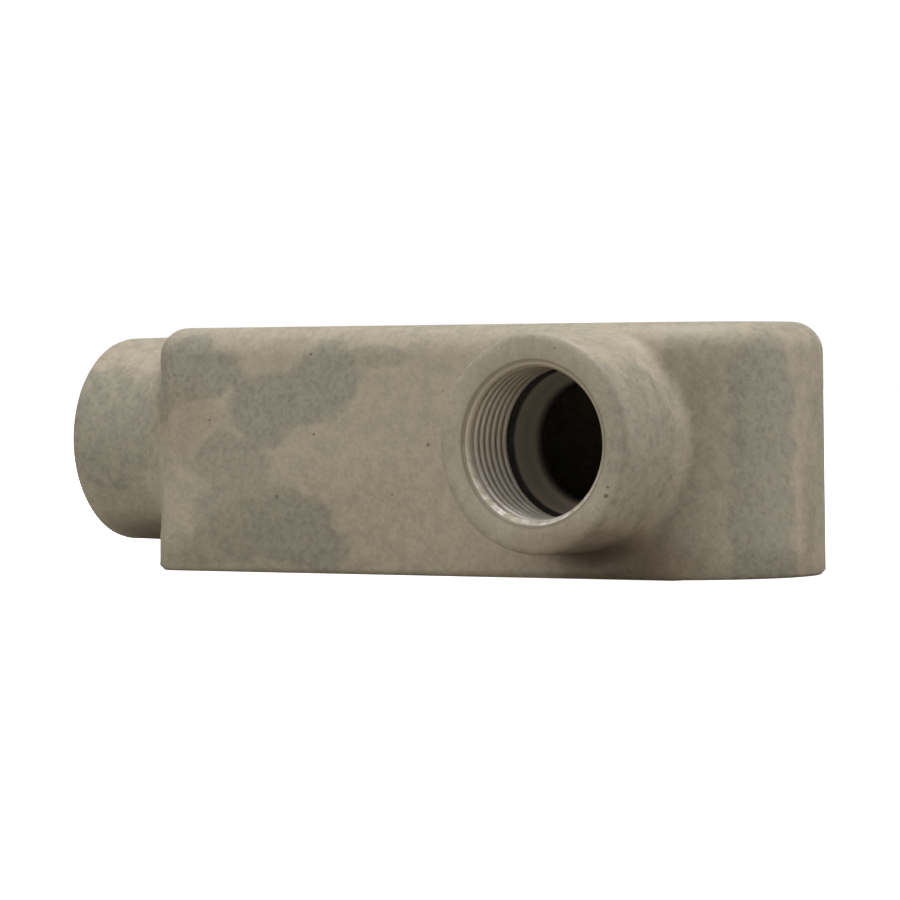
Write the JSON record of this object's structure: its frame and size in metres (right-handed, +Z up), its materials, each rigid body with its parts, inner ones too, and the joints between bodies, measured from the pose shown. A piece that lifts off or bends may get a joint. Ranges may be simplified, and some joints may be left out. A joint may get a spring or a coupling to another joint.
{
  "type": "conduit body",
  "caption": "Cast conduit body: a long hollow box open on its cover face, with a threaded hub on one end and another on one side.",
  "frame": {"origin": "centre of the cover face, midway between the two cover screw holes", "axes": "+Z up from the open cover face to the back, -X towards the end hub, -Y towards the side hub"},
  "size_m": [0.1432, 0.062, 0.0435],
  "materials": {
    "cast_metal": "matt grey lacquer over a sand-cast skin, with bare machined threads"
  },
  "bodies": {
    "root": {"conduit_body": "cast_metal"}
  },
  "joints": []
}
